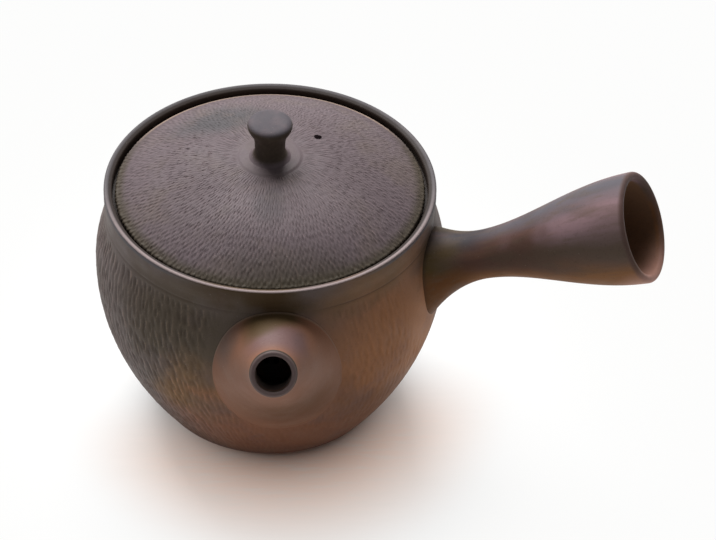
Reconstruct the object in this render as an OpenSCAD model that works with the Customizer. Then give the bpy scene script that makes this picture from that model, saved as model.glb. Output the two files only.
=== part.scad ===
// Side-handled kyusu teapot of unglazed stoneware, luted together from thrown pieces.
// Millimetres, +Z up, with the origin at the centre of the flat base.
// The spout points along -Y, and the handle leaves the wall between +X and -Y.

/* [Body] */
// Height of the rim above the table
rim_h = 74; // [70:0.5:90]
// Radius of the flat base
foot_r = 30.6; // [24:0.1:36]
// Width of the trimmed bevel round the base
foot_bevel_w = 0.4; // [0.2:0.1:1.5]
// Height of the trimmed bevel round the base
foot_bevel_h = 2.2; // [1:0.1:4]
// Largest radius of the belly
belly_r = 49; // [47:0.1:60]
// Height of the widest circle of the belly
belly_h = 48; // [40:0.5:54]
// Radius of the waist under the lip
neck_r = 45.7; // [45:0.1:47]
// How far below the rim the waist lies
neck_drop = 5.5; // [4.5:0.1:7]
// Thickness of the thrown wall
wall_t = 3; // [2:0.1:4]
// Thickness of the floor
floor_t = 4.5; // [3:0.1:7]
// Height of the rounding between the floor and the wall
floor_round_h = 4; // [2:0.1:8]
// Width of the rounding between the floor and the wall
floor_round_w = 6; // [3:0.1:10]

/* [Lip and lid seat] */
// Outer radius of the lip
rim_r = 46; // [45.5:0.1:48]
// Thickness of the lip
lip_t = 2.3; // [1.6:0.1:3]
// Height of the lip's upright outer face
lip_face_h = 3; // [2:0.1:4]
// Rounding of the lip's edges
lip_round = 0.6; // [0.3:0.1:0.7]
// How far the lip's top falls towards the lid
lip_fall = 0.45; // [0.2:0.05:1]
// How far below the rim the lid's seat lies
seat_drop = 3.5; // [2.5:0.1:5]
// Radius of the opening inside the seat
mouth_r = 39.4; // [36:0.1:40]
// Thickness of the ledge that forms the seat
ledge_t = 3; // [2:0.1:4]
// Height of the slope that carries the ledge
ledge_slope_h = 6; // [4:0.1:8]

/* [Lid] */
// Gap between the lid's edge and the lip
lid_gap = 1.1; // [0.5:0.1:2.5]
// Height of the lid's edge above its seat
lid_edge_h = 1.8; // [1.4:0.1:4]
// Rise of the dome from the edge to the knob
lid_rise = 11.7; // [6:0.1:16]
// Fullness of the dome, higher for a flatter crown
lid_fullness = 2.3; // [1.6:0.1:3]
// Rounding of the lid's top edge
lid_round = 0.6; // [0.4:0.1:1.2]
// Thickness of the dome
lid_t = 3.2; // [2.4:0.1:4.5]
// Thickness of the locating flange
flange_t = 2.6; // [1.8:0.1:3.5]
// Depth of the locating flange below the seat
flange_h = 7.5; // [4:0.1:9]
// Gap between the flange and the mouth
flange_gap = 0.6; // [0.3:0.1:1.5]
// Radius of the smooth pad under the knob
pad_r = 8.9; // [7:0.1:11]
// Radius of the vent hole
vent_r = 1.1; // [0.8:0.1:2]
// Distance of the vent hole from the lid's centre
vent_offset = 16.5; // [12:0.5:26]
// Direction of the vent hole, turned from +X
vent_turn = 35; // [0:1:359]

/* [Knob] */
// Height of the knob
knob_h = 12; // [9:0.1:18]
// Radius of the knob's foot, where it runs out into the pad
knob_foot_r = 5.8; // [5:0.1:7]
// Radius of the knob's waist
knob_waist_r = 4.2; // [3:0.05:4.5]
// Height of the waist above the pad
knob_waist_h = 3.5; // [2.5:0.1:4.5]
// Largest radius of the knob's cap
knob_cap_r = 6.2; // [5:0.1:8]
// Height of the cap's rounded crown
knob_crown_h = 1.4; // [0.8:0.1:2.4]

/* [Spout] */
// How far below the rim the spout's axis leaves the wall
spout_drop = 20.5; // [18:0.5:24]
// Rise of the spout's axis
spout_rise = 30; // [22:1:40]
// Turn of the spout away from straight ahead
spout_yaw = 2.6; // [0:0.1:8]
// Length of the spout along its axis, from the wall to the tip
spout_len = 22; // [17:0.5:30]
// Outer radius of the tip
spout_tip_r = 6.25; // [5.8:0.05:8]
// Radius of the bore at the tip
spout_bore_r = 4.75; // [3.5:0.05:5]
// Length of the straight bore
spout_bore_len = 9; // [6:0.5:12]
// Length of the straight barrel behind the tip
spout_barrel_len = 2.5; // [1:0.5:6]
// Slope of the spout's flank against its axis
spout_flank = 25; // [18:0.5:30]
// Radius of the port through the wall
port_r = 7.5; // [5.5:0.1:8]

/* [Strainer] */
// Outer radius of the strainer's dome
strainer_r = 11.5; // [10.5:0.1:12.5]
// Thickness of the strainer's dome
strainer_t = 1.8; // [1.2:0.1:2]
// Radius of each pierced hole
strainer_hole_r = 0.8; // [0.5:0.05:1]
// Distance between the pierced holes
strainer_pitch = 3; // [2.6:0.1:4]
// How far from its crown the dome is pierced
strainer_spread = 58; // [40:1:64]

/* [Handle] */
// How far below the rim the handle's axis leaves the wall
handle_drop = 17; // [14:0.5:22]
// Rise of the handle's axis
handle_rise = 24.5; // [10:0.5:32]
// Turn of the handle from +X towards the spout
handle_turn = 17.5; // [0:0.5:25]
// Length of the handle along its axis, from the wall to the mouth
handle_len = 61.8; // [48:0.1:80]
// Outer radius of the handle's mouth
handle_mouth_r = 15.2; // [11:0.1:18]
// Outer radius of the handle's waist
handle_waist_r = 6.8; // [5.5:0.1:8]
// Distance of the waist from the wall
handle_waist_len = 14; // [10:0.5:20]
// Outer radius of the flared root
handle_root_r = 16.8; // [14:0.1:20]
// How far the flared root reaches behind the wall's front
handle_root_len = 8.5; // [6:0.1:10]
// Thickness of the handle's wall
handle_t = 2.4; // [1.6:0.1:3]

/* [Hidden] */
$fn = 96;

umber = [0.29, 0.22, 0.18];
brown = [0.36, 0.26, 0.21];
violet_grey = [0.31, 0.27, 0.26];
charcoal = [0.25, 0.22, 0.21];
shoulder_bias = 1.3;
trumpet_bias = 0.92;
knob_bias = 1.6;
foot_power = 4;
crown_power = 0.3;
wall_steps = 14;
shoulder_steps = 9;
round_steps = 5;
edge_turn = 60;

barrel_blend = spout_barrel_len;
lip_lean = atan(lip_fall/(lip_t - 2*lip_round));
cutter_reach = 0.8*belly_r;
neck_h = rim_h - neck_drop;
seat_h = rim_h - seat_drop;
spout_h = rim_h - spout_drop;
handle_h = rim_h - handle_drop;
ledge_foot_h = seat_h - ledge_t - ledge_slope_h;
lid_r = rim_r - lip_t - lid_gap;
lid_edge_z = seat_h + lid_edge_h;
lid_top = lid_edge_z + lid_rise;
flange_r = mouth_r - flange_gap;
flange_inner_r = flange_r - flange_t;

// Rises from 0 to 1 with a level start and end, later for a higher bias
function ease(u, bias) = (1 - cos(180*pow(u, bias)))/2;

// The stations from a to b, in equal steps
function span(a, b, steps) = [for (i = [0:steps]) a + (b - a)*i/steps];

// An arc about a centre, from one angle to another
function arc(centre, r, from, to) =
    [for (a = span(from, to, round_steps)) centre + r*[cos(a), sin(a)]];

// Outer radius of the thrown wall at a height up to the waist under the lip
function wall_r(z) =
    z <= belly_h
    ? belly_r - (belly_r - foot_r - foot_bevel_w)*pow(1 - z/belly_h, 2)
    : belly_r - (belly_r - neck_r)*ease((z - belly_h)/(neck_h - belly_h), shoulder_bias);

// Outside of the pot, from the base to the lip's outer edge
function outer_wall() = concat(
    [[foot_r, 0]],
    [for (z = span(foot_bevel_h, belly_h, wall_steps)) [wall_r(z), z]],
    [for (i = [1:shoulder_steps])
        let (z = belly_h + (neck_h - belly_h)*i/shoulder_steps) [wall_r(z), z]],
    [[rim_r, rim_h - lip_face_h]]
);

// Inside of the pot, from the floor to the edge of the mouth
function inner_wall() =
    let (round_z = floor_t + floor_round_h)
    let (round_r = wall_r(round_z) - wall_t)
    concat(
        [for (a = span(90, 0, round_steps))
            [round_r - floor_round_w*(1 - cos(a)), round_z - floor_round_h*sin(a)]],
        [for (i = [1:wall_steps])
            let (z = round_z + (ledge_foot_h - round_z)*i/wall_steps) [wall_r(z) - wall_t, z]],
        [[mouth_r, seat_h - ledge_t], [mouth_r, seat_h]]
    );

function reversed(points) = [for (i = [len(points) - 1:-1:0]) points[i]];

// The lip's rounded top, which leans in, from its outer face to its inner face
function lip_top() = concat(
    arc([rim_r - lip_round, rim_h - lip_round], lip_round, 0, 90 + lip_lean),
    arc([rim_r - lip_t + lip_round, rim_h - lip_round - lip_fall], lip_round, 90 + lip_lean, 180)
);

// The pot as if it were solid clay
module pot_form() {
    rotate_extrude() polygon(concat([[0, 0]], outer_wall(), [[rim_r, rim_h], [0, rim_h]]));
}

// The space inside the pot
module cavity_form() {
    rotate_extrude() polygon(concat([[0, floor_t]], inner_wall(), [[0, seat_h]]));
}

// Puts a piece on the spout's axis, with its origin on the wall
module on_spout() {
    translate([0, -wall_r(spout_h), spout_h])
        rotate([90 - spout_rise, 0, -spout_yaw]) children();
}

// Puts a piece on the handle's axis, with its origin on the wall
module on_handle() {
    rotate([0, 0, -handle_turn])
        translate([wall_r(handle_h), 0, handle_h])
            rotate([0, 90 - handle_rise, 0]) children();
}

module pot_body() {
    color(umber) difference() {
        rotate_extrude() polygon(concat(
            [[0, 0]],
            outer_wall(),
            lip_top(),
            [[rim_r - lip_t, seat_h]],
            reversed(inner_wall()),
            [[0, floor_t]]
        ));
        on_spout() cylinder(r = port_r, h = cutter_reach, center = true);
    }
}

// How far a flare has opened at a distance past its bend
function flare(past) = (sqrt(pow(past, 2) + pow(barrel_blend, 2)) + past)/2;

// Outer radius of the spout at a distance behind its tip, a barrel that opens into a cone
function spout_r(back) =
    spout_tip_r + tan(spout_flank)*(flare(back - spout_barrel_len) - flare(-spout_barrel_len));

module spout() {
    tip_round = (spout_tip_r - spout_bore_r)/2;
    tip_mid_r = spout_bore_r + tip_round;
    reach = spout_len + cutter_reach/2;
    outside = [for (back = span(reach, tip_round, wall_steps)) [spout_r(back), spout_len - back]];
    tip = arc([tip_mid_r, spout_len - tip_round], tip_round, 0, 180);
    color(brown) difference() {
        on_spout() rotate_extrude() polygon(concat(
            outside,
            tip,
            [[spout_bore_r, spout_len - spout_bore_len], [port_r, 0], [port_r, spout_len - reach]]
        ));
        pot_form();
    }
}

// Directions of the pierced holes, as the angle from the crown and the turn about it
function strainer_holes() =
    let (step = strainer_pitch/strainer_r*180/PI)
    [for (tilt = [step/2:step:strainer_spread])
        let (count = floor(2*PI*strainer_r*sin(tilt)/strainer_pitch))
        for (i = [0:count - 1]) [tilt, 360*(i + 0.5)/count]];

module spout_strainer() {
    centre_h = spout_h - wall_t*tan(spout_rise);
    centre = [0, wall_t - wall_r(centre_h), centre_h];
    crown = [-90, 0, 0];
    color(umber) difference() {
        intersection() {
            translate(centre) rotate(crown) difference() {
                sphere(r = strainer_r);
                sphere(r = strainer_r - strainer_t);
            }
            cavity_form();
        }
        translate(centre) rotate(crown)
            for (hole = strainer_holes())
                rotate([0, hole[0], hole[1]]) translate([0, 0, strainer_r - strainer_t/2])
                    cylinder(r = strainer_hole_r, h = 2*strainer_t, center = true);
    }
}

// Outer radius of the handle at a distance from the wall
function handle_r(out) =
    out < handle_waist_len
    ? handle_waist_r + (handle_root_r - handle_waist_r)
        *pow((handle_waist_len - out)/(handle_waist_len + handle_root_len), 2)
    : handle_waist_r + (handle_mouth_r - handle_waist_r)
        *ease((out - handle_waist_len)/(handle_len - handle_waist_len), trumpet_bias);

module handle() {
    edge_round = handle_t/2;
    bell_end = handle_len - edge_round;
    buried = -cutter_reach/2;
    bore_r = handle_waist_r - handle_t;
    root = [for (out = span(-handle_root_len, handle_waist_len, wall_steps)) [handle_r(out), out]];
    bell = [for (i = [1:wall_steps])
        let (out = handle_waist_len + (bell_end - handle_waist_len)*i/wall_steps) [handle_r(out), out]];
    hollow = [for (p = reversed(bell)) [p[0] - handle_t, p[1]]];
    color(brown) difference() {
        on_handle() rotate_extrude() polygon(concat(
            [[handle_root_r, buried]],
            root,
            bell,
            arc([handle_r(bell_end) - edge_round, bell_end], edge_round, 0, 180),
            hollow,
            [[bore_r, handle_waist_len], [bore_r, buried]]
        ));
        pot_form();
    }
}

// Height of the lid's dome at a distance from its centre
function dome_z(r) = lid_edge_z + lid_rise*(1 - pow(r/lid_r, lid_fullness));

module lid() {
    edge_r = lid_r - lid_round;
    dome = [for (r = span(edge_r, pad_r, wall_steps)) [r, dome_z(r)]];
    under = [for (r = span(0, flange_inner_r, wall_steps)) [r, dome_z(r) - lid_t]];
    color(violet_grey) difference() {
        rotate_extrude() polygon(concat(
            under,
            [[flange_inner_r, seat_h - flange_h], [flange_r, seat_h - flange_h], [flange_r, seat_h]],
            [[lid_r, seat_h], [lid_r, dome_z(edge_r) - lid_round]],
            arc([edge_r, dome_z(edge_r) - lid_round], lid_round, 0, edge_turn),
            dome,
            [[pad_r, lid_top], [0, lid_top]]
        ));
        rotate([0, 0, vent_turn]) translate([vent_offset, 0, seat_h])
            cylinder(r = vent_r, h = lid_top - seat_h);
    }
}

// Outer radius of the knob at a height above the pad, up to its widest circle
function knob_r(z) =
    z <= knob_waist_h
    ? knob_waist_r + (knob_foot_r - knob_waist_r)*pow(1 - z/knob_waist_h, foot_power)
    : knob_waist_r + (knob_cap_r - knob_waist_r)
        *ease((z - knob_waist_h)/(knob_h - knob_crown_h - knob_waist_h), knob_bias);

module lid_knob() {
    cap_z = knob_h - knob_crown_h;
    foot = [for (z = span(0, knob_waist_h, wall_steps)) [knob_r(z), z]];
    flank = [for (i = [1:wall_steps])
        let (z = knob_waist_h + (cap_z - knob_waist_h)*i/wall_steps) [knob_r(z), z]];
    crown = [for (a = span(0, 90, 2*round_steps))
        [knob_cap_r*pow(cos(a), crown_power), cap_z + knob_crown_h*sin(a)]];
    color(charcoal) translate([0, 0, lid_top])
        rotate_extrude() polygon(concat([[0, 0]], foot, flank, crown));
}

pot_body();
spout();
spout_strainer();
handle();
lid();
lid_knob();
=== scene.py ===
"""Looks of a side-handled kyusu teapot: thrown stoneware with chatter marks and kiln flashing."""
import math

import bpy
import numpy as np
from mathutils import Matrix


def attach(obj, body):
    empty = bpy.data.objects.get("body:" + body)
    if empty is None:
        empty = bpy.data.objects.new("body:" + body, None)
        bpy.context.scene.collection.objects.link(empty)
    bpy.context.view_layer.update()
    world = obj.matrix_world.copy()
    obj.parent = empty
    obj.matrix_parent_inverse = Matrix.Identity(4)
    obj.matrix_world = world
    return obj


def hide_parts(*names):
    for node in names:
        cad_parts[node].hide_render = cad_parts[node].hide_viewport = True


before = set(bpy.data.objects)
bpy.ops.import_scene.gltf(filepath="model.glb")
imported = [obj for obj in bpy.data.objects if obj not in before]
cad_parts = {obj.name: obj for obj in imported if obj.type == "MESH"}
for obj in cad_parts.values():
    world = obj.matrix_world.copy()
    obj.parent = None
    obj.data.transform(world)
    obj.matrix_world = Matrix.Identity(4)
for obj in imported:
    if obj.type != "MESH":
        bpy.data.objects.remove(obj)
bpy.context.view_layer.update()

MM = 0.001
TURN = 2*math.pi

# Directions
RIGHT = (1.0, 0.0, 0.0)
FRONT = (0.0, -1.0, 0.0)
BACK = (0.0, 1.0, 0.0)
UP = (0.0, 0.0, 1.0)
DOWN = (0.0, 0.0, -1.0)

# Pot, in millimetres
RIM_H = 74.0
FOOT_R = 30.6
FOOT_BEVEL_W = 0.4
FOOT_BEVEL_H = 2.2
FOOT_ROUND = 0.4
BELLY_R = 49.0
BELLY_H = 48.0
NECK_R = 45.7
NECK_H = 68.5
WALL_T = 3.0
FLOOR_T = 4.5
FLOOR_ROUND_H = 4.0
FLOOR_ROUND_W = 6.0
RIM_R = 46.0
LIP_T = 2.3
LIP_FACE_H = 3.0
LIP_ROUND = 0.6
LIP_FALL = 0.45
LIP_LEAN = math.degrees(math.atan(LIP_FALL/(LIP_T - 2*LIP_ROUND)))
SEAT_H = 70.5
MOUTH_R = 39.4
LEDGE_T = 3.0
LEDGE_SLOPE_H = 6.0
SEAT_EASE = 0.3
SHOULDER_BIAS = 1.3
COLLAR_H = 66.2
COLLAR_GROOVE = 0.1
COLLAR_GROOVE_W = 0.3

# Lid and knob
LID_R = 42.6
LID_EDGE_Z = 72.3
LID_RISE = 11.7
LID_TOP = LID_EDGE_Z + LID_RISE
LID_FULLNESS = 2.3
LID_ROUND = 0.6
LID_EDGE_TURN = 60.0
LID_T = 3.2
FLANGE_R = 38.8
FLANGE_INNER_R = 36.2
FLANGE_Z = 63.0
FLANGE_EASE = 0.4
PAD_R = 8.9
VENT_R = 1.1
VENT_OFFSET = 16.5
VENT_TURN = 35.0
KNOB_H = 12.0
KNOB_FOOT_R = 5.8
KNOB_FOOT_POWER = 4
KNOB_WAIST_R = 4.2
KNOB_WAIST_H = 3.5
KNOB_CAP_R = 6.2
KNOB_CROWN_H = 1.4
KNOB_CROWN_POWER = 0.3
KNOB_BIAS = 1.6

# Spout
SPOUT_H = 53.5
SPOUT_RISE = 30.0
SPOUT_YAW = 2.6
SPOUT_LEN = 22.0
SPOUT_TIP_R = 6.25
SPOUT_BORE_R = 4.75
SPOUT_BORE_LEN = 9.0
SPOUT_BARREL = 2.5
SPOUT_FLANK = 25.0
PORT_R = 7.5
PORT_REACH = 19.6
SPOUT_RING_R = 16.0
SPOUT_BEAD = 0.12
SPOUT_BEAD_AT = 0.9
SPOUT_BEAD_W = 0.35

# Handle
HANDLE_H = 57.0
HANDLE_RISE = 24.5
HANDLE_TURN = 17.5
HANDLE_LEN = 61.8
HANDLE_MOUTH_R = 15.2
HANDLE_WAIST_R = 6.8
HANDLE_WAIST_LEN = 14.0
HANDLE_ROOT_R = 16.8
HANDLE_ROOT_LEN = 8.5
HANDLE_T = 2.4
TRUMPET_BIAS = 0.92

# Keeps the rounded tips inside the faceted solids
SKIN = 0.03

# How far luted pieces run into the wall that carries them
LUTE_DEPTH = 0.6
WIPED_W = 7.0
SEAM_DEPTH = 0.5
SEAM_W = 1.2

# Fineness of the meshes
POT_COLUMNS = 864
POT_ROWS = 86
LID_COLUMNS = 1008
LID_PLAIN_COLUMNS = 168
LID_ROWS = 81
SPOUT_COLUMNS = 168
HANDLE_COLUMNS = 192
SMOOTH_COLUMNS = 288
PLAIN_COLUMNS = 144
DRILL_SIDES = 52
CREASE_ANGLE = 40.0
MARKED_CREASE_ANGLE = 55.0

# Chatter marks
BURR = 0.35
POT_MARKS = 144
POT_MARK_STEP = 2.4
POT_MARK_LEN = 3.7
POT_MARK_DEPTH = 0.34
POT_FOOT_PLAIN = 1.0
POT_FADE_TOP = 0.8
POT_FADE_FOOT = 2.0
SOFT_FROM_X = -30.0
SOFT_OVER_X = 36.0
SOFT_BELOW_Z = 44.0
SOFT_RIGHT = 0.4
SOFT_LOW = 0.6
LID_MARKS = 168
LID_PAD_MARKS = 96
LID_PAD_SHARE = 0.4
LID_MARK_DEPTH = 0.2
LID_FADE_PAD = 0.8
LID_FADE_EDGE = 0.4
LID_FIRST_RUN = 0.8
LID_EDGE_W = 3.0
LID_EDGE_OVER = 2.0
LID_EDGE_BITE = 0.6
LID_BACK_FROM = 0.2
LID_BACK_OVER = 0.6
LID_BACK_WIPE = 0.85
LID_MARK_LEN = 1.7
LID_MARK_LONG = 3.6
LID_LONG_RUN = 12.0
LID_STEP_SHARE = 0.68
LID_FINE_R = 24.0

# Gloss of the clay
SPECULAR = 0.12
KNOB_SPECULAR = 0.08
HANDLE_SPECULAR = 0.05


def ease(u, bias):
    """Rises from 0 to 1 with a level start and end, later for a higher bias."""
    return (1 - np.cos(math.pi*np.clip(u, 0, 1)**bias))/2


def wall_r(z):
    """Outer radius of the thrown wall at a height, up to the lip."""
    z = np.asarray(z, float)
    low = BELLY_R - (BELLY_R - FOOT_R - FOOT_BEVEL_W)*(1 - z/BELLY_H)**2
    high = BELLY_R - (BELLY_R - NECK_R)*ease((z - BELLY_H)/(NECK_H - BELLY_H), SHOULDER_BIAS)
    lip = NECK_R + (RIM_R - NECK_R)*np.clip((z - NECK_H)/(RIM_H - LIP_FACE_H - NECK_H), 0, 1)
    return np.where(z <= BELLY_H, low, np.where(z <= NECK_H, high, lip))


def dome_z(r):
    """Height of the lid's dome at a distance from its centre."""
    return LID_EDGE_Z + LID_RISE*(1 - (np.asarray(r, float)/LID_R)**LID_FULLNESS)


def flare(past):
    """How far the spout has opened at a distance past its bend."""
    return (np.sqrt(past**2 + SPOUT_BARREL**2) + past)/2


def spout_r(back):
    """Outer radius of the spout at a distance behind its tip."""
    opened = flare(back - SPOUT_BARREL) - flare(np.float64(-SPOUT_BARREL))
    return SPOUT_TIP_R + math.tan(math.radians(SPOUT_FLANK))*opened


def handle_r(out):
    """Outer radius of the handle at a distance from the wall."""
    out = np.asarray(out, float)
    near = np.clip((HANDLE_WAIST_LEN - out)/(HANDLE_WAIST_LEN + HANDLE_ROOT_LEN), 0, 1)
    root = HANDLE_WAIST_R + (HANDLE_ROOT_R - HANDLE_WAIST_R)*near**2
    far = (out - HANDLE_WAIST_LEN)/(HANDLE_LEN - HANDLE_WAIST_LEN)
    bell = HANDLE_WAIST_R + (HANDLE_MOUTH_R - HANDLE_WAIST_R)*ease(far, TRUMPET_BIAS)
    return np.where(out < HANDLE_WAIST_LEN, root, bell)


def knob_r(z):
    """Outer radius of the knob at a height above the pad, up to its widest circle."""
    foot = KNOB_WAIST_R + (KNOB_FOOT_R - KNOB_WAIST_R)*np.clip(1 - z/KNOB_WAIST_H, 0, 1)**KNOB_FOOT_POWER
    up = (z - KNOB_WAIST_H)/(KNOB_H - KNOB_CROWN_H - KNOB_WAIST_H)
    cap = KNOB_WAIST_R + (KNOB_CAP_R - KNOB_WAIST_R)*ease(up, KNOB_BIAS)
    return np.where(z <= KNOB_WAIST_H, foot, cap)


def arc(centre, radius, start, end, steps):
    """Points of an arc in a profile, from one angle to another in degrees."""
    a = np.radians(np.linspace(start, end, steps + 1))
    return np.stack([centre[0] + radius*np.cos(a), centre[1] + radius*np.sin(a)], 1)


def profile(*parts):
    """Joins stretches of (radius, height) points into one outline."""
    return np.concatenate([np.atleast_2d(np.asarray(p, float)) for p in parts])


def turned(points, columns):
    """Rings of an outline turned about the Z axis, one ring for each point."""
    a = np.arange(columns)*TURN/columns
    ring = np.stack([np.cos(a), np.sin(a)], 1)
    return [np.column_stack([r*ring, np.full(columns, z)]) for r, z in points]


def pole(z):
    """A ring of one point on the Z axis."""
    return np.array([[0.0, 0.0, z]])


def faces_between(a, a_count, b, b_count):
    """Faces between two rings, given by their first vertex and their number of vertices."""
    if b_count > a_count:
        return [face[::-1] for face in faces_between(b, b_count, a, a_count)]
    if b_count == 1:
        return [(a + i, a + (i + 1) % a_count, b) for i in range(a_count)]
    step = a_count//b_count
    faces = []
    for i in range(b_count):
        near = [a + (i*step + k) % a_count for k in range(step + 1)]
        this, following = b + i, b + (i + 1) % b_count
        half = step//2
        faces += [(near[k], near[k + 1], this) for k in range(half)]
        if step % 2:
            faces.append((near[half], near[half + 1], following, this))
        else:
            faces.append((near[half], following, this))
        faces += [(near[k], near[k + 1], following) for k in range(half + step % 2, step)]
    return faces


def loft(name, rings, closed=False, marks=None, sharp_angle=CREASE_ANGLE):
    """A mesh through rings of points in millimetres, with a mark for each point as an attribute.

    Where it is closed, its last ring is joined to its first.
    """
    counts = [len(ring) for ring in rings]
    starts = np.concatenate([[0], np.cumsum(counts)[:-1]]).astype(int)
    pairs = list(zip(range(len(rings) - 1), range(1, len(rings))))
    if closed:
        pairs.append((len(rings) - 1, 0))
    faces = []
    for i, j in pairs:
        faces += faces_between(int(starts[i]), counts[i], int(starts[j]), counts[j])
    mesh = bpy.data.meshes.new(name)
    mesh.from_pydata((np.concatenate(rings)*MM).tolist(), [], faces)
    if marks is not None:
        mesh.attributes.new("mark", "FLOAT", "POINT").data.foreach_set("value", marks.astype(np.float32))
    if volume(mesh) < 0:
        mesh.flip_normals()
    mesh.polygons.foreach_set("use_smooth", [True]*len(mesh.polygons))
    mesh.set_sharp_from_angle(angle=math.radians(sharp_angle))
    piece = bpy.data.objects.new(name, mesh)
    bpy.context.scene.collection.objects.link(piece)
    return piece


def volume(mesh):
    """Volume inside a closed mesh, negative where its faces point inwards."""
    mesh.calc_loop_triangles()
    corners = np.zeros(len(mesh.loop_triangles)*3, np.int32)
    mesh.loop_triangles.foreach_get("vertices", corners)
    points = np.zeros(len(mesh.vertices)*3, np.float32)
    mesh.vertices.foreach_get("co", points)
    a, b, c = points.reshape(-1, 3).astype(float)[corners.reshape(-1, 3)].transpose(1, 0, 2)
    return np.einsum("ij,ij->", a, np.cross(b, c))/6


def drill(piece, origin, axis, radius, reach, sharp_angle=CREASE_ANGLE):
    """Cuts a round hole through a piece, from reach behind a point to reach in front of it."""
    u, v = across(axis)
    a = np.arange(DRILL_SIDES)*TURN/DRILL_SIDES
    ring = radius*(np.outer(np.cos(a), u) + np.outer(np.sin(a), v))
    ends = [origin - reach*axis, origin + reach*axis]
    cutter = loft("cutter", [ends[0][None], ring + ends[0], ring + ends[1], ends[1][None]])
    cut = piece.modifiers.new("cut", "BOOLEAN")
    cut.operation = "DIFFERENCE"
    cut.solver = "EXACT"
    cut.object = cutter
    bpy.context.view_layer.objects.active = piece
    bpy.ops.object.modifier_apply(modifier=cut.name)
    bpy.data.objects.remove(cutter)
    piece.data.polygons.foreach_set("use_smooth", [True]*len(piece.data.polygons))
    piece.data.set_sharp_from_angle(angle=math.radians(sharp_angle))


def across(axis):
    """Two directions square to an axis and to each other, the first of them level."""
    u = np.cross(UP, axis)
    if np.linalg.norm(u) < 1e-6:
        u = np.array(RIGHT)
    u = u/np.linalg.norm(u)
    return u, np.cross(axis, u)


def chatter(runs, columns, bands, slant, shift, wobble, seed):
    """Relief of chatter marks for each run along the surface and each column round it.

    A band is (run of its middle, length of its marks, marks in a turn). It is turned against the band
    before by a shift, and its marks are spread unevenly by a wobble, both in marks. A mark digs in
    slowly on one side, down to 1, and stops short on the other, where it leaves a burr, up to -BURR.
    """
    soft_side, short_side, burr_at, burr_w = 0.42, 0.24, 0.34, 0.24
    start_play, jump_play, drift_play, waver_play = 0.12, 0.11, 0.16, 0.1
    bottom, weakest, shortest, longest, tip_w = 0.6, 0.35, 0.75, 1.15, 0.35
    rng = np.random.default_rng(seed)
    angles = np.arange(columns)*TURN/columns
    depth = np.zeros((len(runs), columns))
    burr = np.zeros((len(runs), columns))
    for number, (middle, length, marks) in enumerate(bands):
        start = number*shift + rng.uniform(-start_play, start_play)
        sway = rng.uniform(0, TURN, 4)
        jump = rng.normal(0, jump_play, marks)
        force = rng.uniform(weakest, 1.0, marks)
        drift = rng.normal(0, drift_play*length, marks)
        stretch = rng.uniform(shortest, longest, marks)
        rows = np.flatnonzero(np.abs(runs - middle) < length)
        waver = np.sin(3*angles + sway[0]) + np.sin(7*angles + sway[1])
        along = runs[rows][:, None] - middle - waver_play*length*waver[None, :]
        uneven = np.sin(5*angles + sway[2]) + np.sin(11*angles + sway[3])
        turn = angles*marks/TURN + start + wobble*uneven
        turn = turn[None, :] + slant*along/length
        mark = np.floor(turn).astype(int) % marks
        reach = 1 - ((along - drift[mark])/(stretch[mark]*length/2))**2
        reach = np.sqrt(np.clip(reach, 0, 1))
        side = turn - np.floor(turn) - bottom - jump[mark]
        width = np.where(side < 0, soft_side, short_side)*(tip_w + (1 - tip_w)*reach)
        dig = np.clip(1 - np.abs(side)/width, 0, 1)
        dig = dig*dig*(3 - 2*dig)
        depth[rows] = np.maximum(depth[rows], force[mark]*dig*reach)
        edge = np.clip(1 - np.abs(side - burr_at)/burr_w, 0, 1)
        burr[rows] = np.maximum(burr[rows], force[mark]*edge*reach)
    return depth - BURR*burr*(1 - depth)


def off_luted(points, columns, line, root_r):
    """A mask that fades out the marks round a luted piece, where the wall was wiped smooth."""
    a = np.arange(columns)*TURN/columns
    places = np.stack([np.outer(points[:, 0], np.cos(a)), np.outer(points[:, 0], np.sin(a)),
                       np.repeat(points[:, 1:], columns, 1)], 2)
    offset = places - line[0]
    along = offset @ line[1]
    far = np.linalg.norm(offset - along[:, :, None]*line[1], axis=2)
    clear = np.clip((far - root_r)/WIPED_W, 0, 1)
    return np.where(along > -root_r, clear*clear*(3 - 2*clear), 1.0)


def soft_marks(points, columns):
    """A mask that lets the marks grow softer to the right and low down."""
    x = np.outer(points[:, 0], np.cos(np.arange(columns)*TURN/columns))
    right = ease((x - SOFT_FROM_X)/SOFT_OVER_X, 1)
    low = ease(1 - points[:, 1]/SOFT_BELOW_Z, 1)[:, None]
    return (1 - SOFT_RIGHT*right)*(1 - SOFT_LOW*low*right)


def runs_along(points):
    """Distance along an outline at each of its points."""
    steps = np.linalg.norm(np.diff(points, axis=0), axis=1)
    return np.concatenate([[0], np.cumsum(steps)])


def dug(points, depth):
    """Rings of a turned outline, dug in square to the outline by a depth for each point and column."""
    slope = np.gradient(points, axis=0)
    slope = slope/np.linalg.norm(slope, axis=1)[:, None]
    inward = np.stack([-slope[:, 1], slope[:, 0]], 1)
    columns = depth.shape[1]
    a = np.arange(columns)*TURN/columns
    rings = []
    for point, way, row in zip(points, inward, depth):
        r = point[0] + way[0]*row
        z = point[1] + way[1]*row
        rings.append(np.stack([r*np.cos(a), r*np.sin(a), z], 1))
    return rings


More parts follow.
